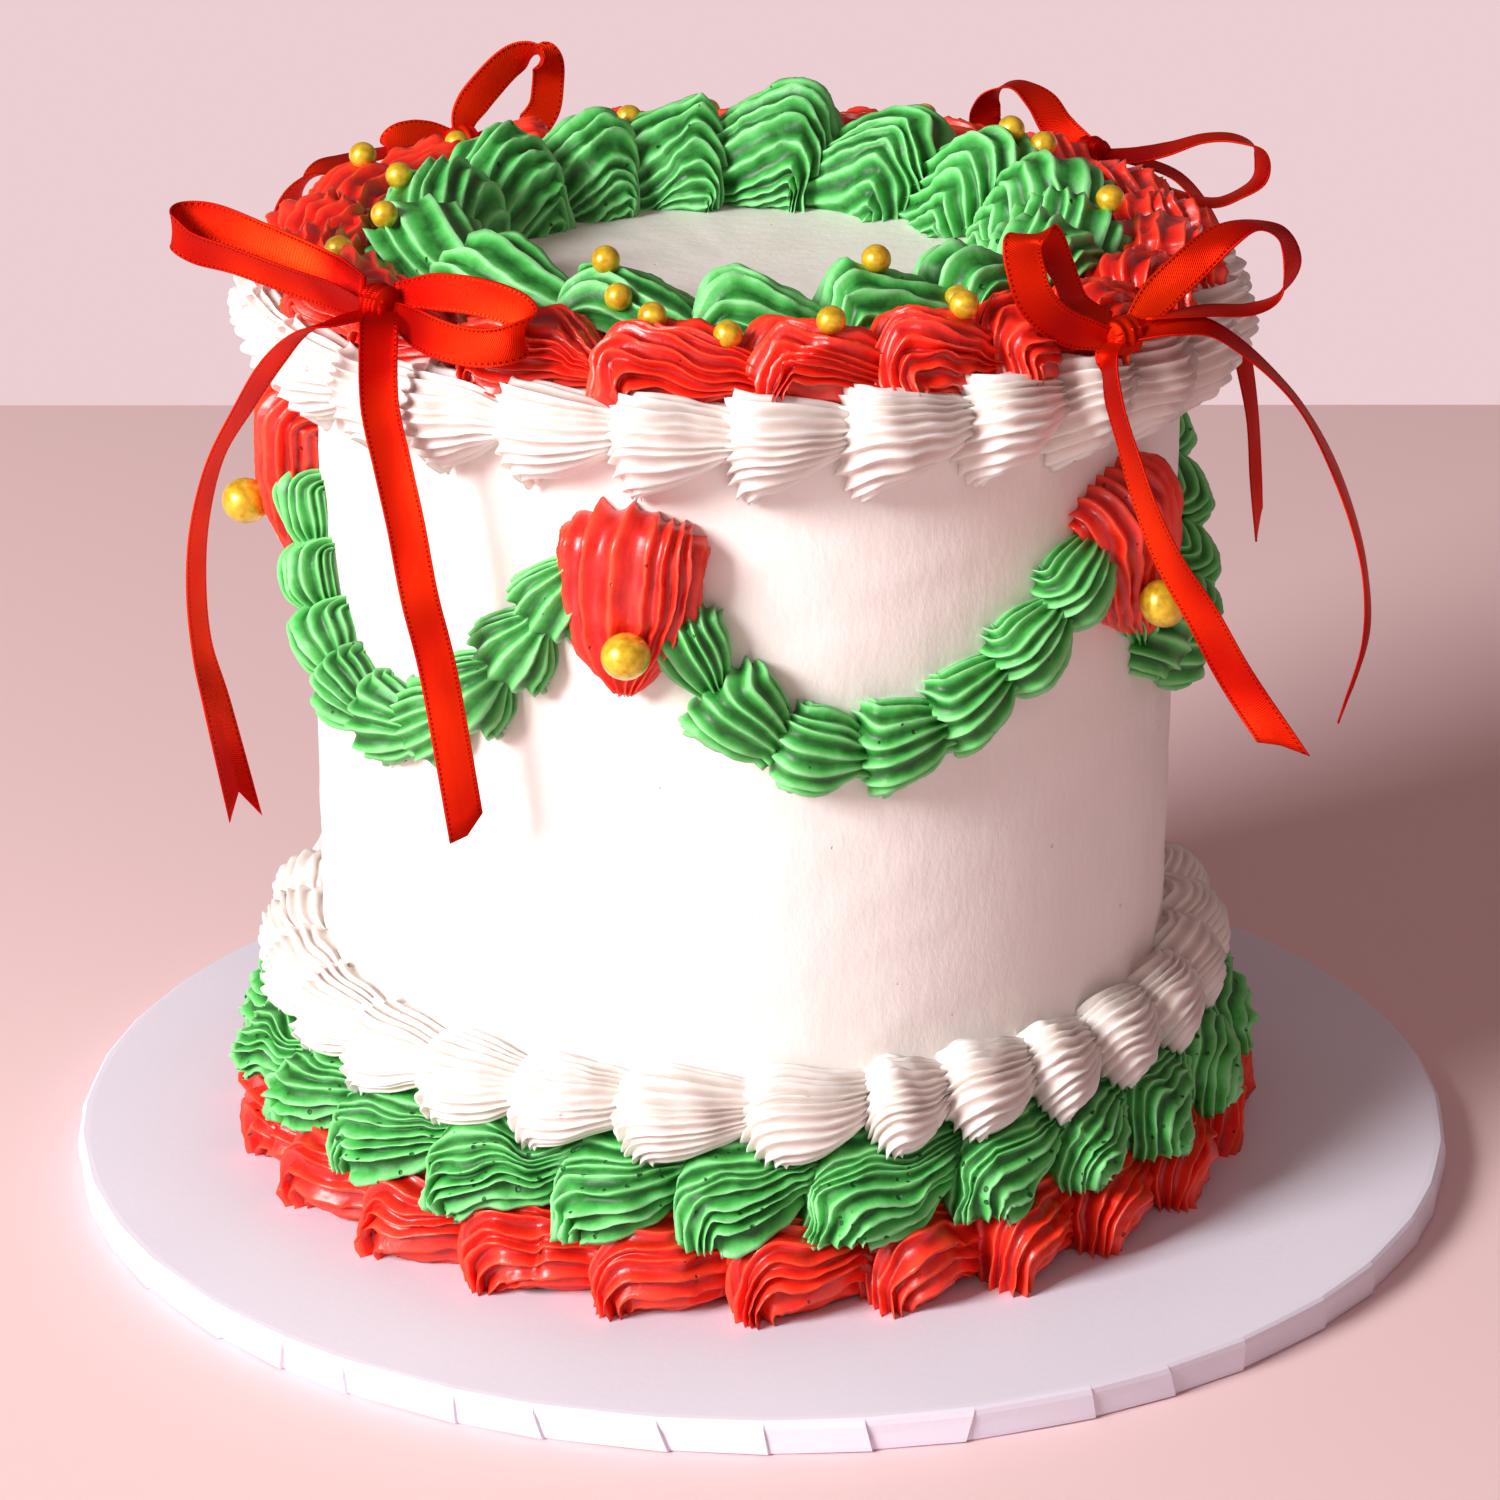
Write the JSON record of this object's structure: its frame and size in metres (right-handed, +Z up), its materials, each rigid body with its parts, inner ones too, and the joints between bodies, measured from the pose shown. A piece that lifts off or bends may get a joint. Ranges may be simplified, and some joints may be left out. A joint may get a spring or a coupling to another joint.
{
  "type": "piped buttercream cake on a cake board",
  "caption": "Tall white iced cake with piped shell borders in white, green and red, green swags, red drops, gold pearls and red satin bows, on a round board.",
  "frame": {"origin": "middle of the cake board's underside", "axes": "+Z up, -Y towards the side the picture shows, +X to its right"},
  "size_m": [0.254, 0.254, 0.1906],
  "materials": {
    "white_icing": "smooth buttercream, soft sheen",
    "red_icing": "piped buttercream, moist gloss",
    "green_icing": "piped buttercream, satin with small air pits",
    "gold_pearl": "pearly sugar shell",
    "red_ribbon": "woven satin",
    "board_paper": "smooth matt wrapping"
  },
  "bodies": {
    "root": {"cake_board": "board_paper", "cake": "white_icing", "bottom_red_border": "red_icing", "bottom_green_border": "green_icing", "bottom_white_border": "white_icing", "top_white_border": "white_icing", "top_red_border": "red_icing", "top_green_border": "green_icing", "drop_1": "red_icing", "drop_pearl_1": "gold_pearl", "drop_2": "red_icing", "drop_pearl_2": "gold_pearl", "drop_3": "red_icing", "drop_pearl_3": "gold_pearl", "drop_4": "red_icing", "drop_pearl_4": "gold_pearl", "drop_5": "red_icing", "drop_pearl_5": "gold_pearl", "drop_6": "red_icing", "drop_pearl_6": "gold_pearl", "swag_1": "green_icing", "swag_2": "green_icing", "swag_3": "green_icing", "swag_4": "green_icing", "swag_5": "green_icing", "swag_6": "green_icing", "bow_front_left": "red_ribbon", "bow_front_right": "red_ribbon", "bow_back_right": "red_ribbon", "bow_back_left": "red_ribbon"}
  },
  "joints": []
}
